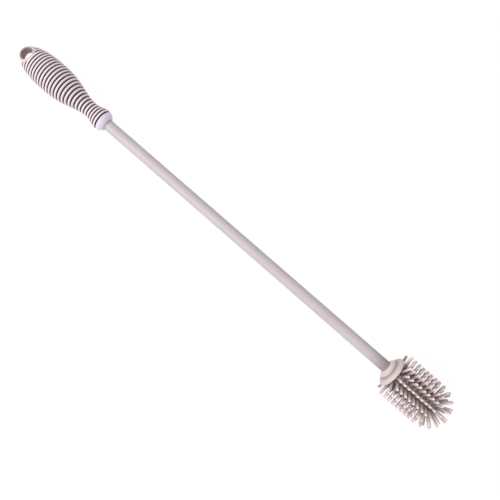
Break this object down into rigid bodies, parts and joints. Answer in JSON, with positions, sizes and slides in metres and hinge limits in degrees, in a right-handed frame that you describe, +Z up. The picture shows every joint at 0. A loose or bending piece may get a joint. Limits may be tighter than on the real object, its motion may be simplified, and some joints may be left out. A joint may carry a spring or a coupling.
{
  "type": "bottle brush",
  "caption": "Long bottle brush with a soft ribbed grip, a hanging hole, a slim straight stem and a soft head of staggered round-ended tines.",
  "frame": {"origin": "on the resting surface, under the middle of the brush's length", "axes": "+X along the brush from the butt of the grip to the tip of the head, +Y across it, +Z up out of the resting surface; the brush's own axis rises about 1 degree towards the head, as it lies on its tines and its grip"},
  "size_m": [0.4396, 0.039, 0.0391],
  "materials": {
    "grip_silicone": "soft matt",
    "stem_plastic": "smooth satin",
    "head_silicone": "soft matt"
  },
  "bodies": {
    "root": {"handle_grip": "grip_silicone", "stem": "stem_plastic", "brush_head": "head_silicone"}
  },
  "joints": []
}
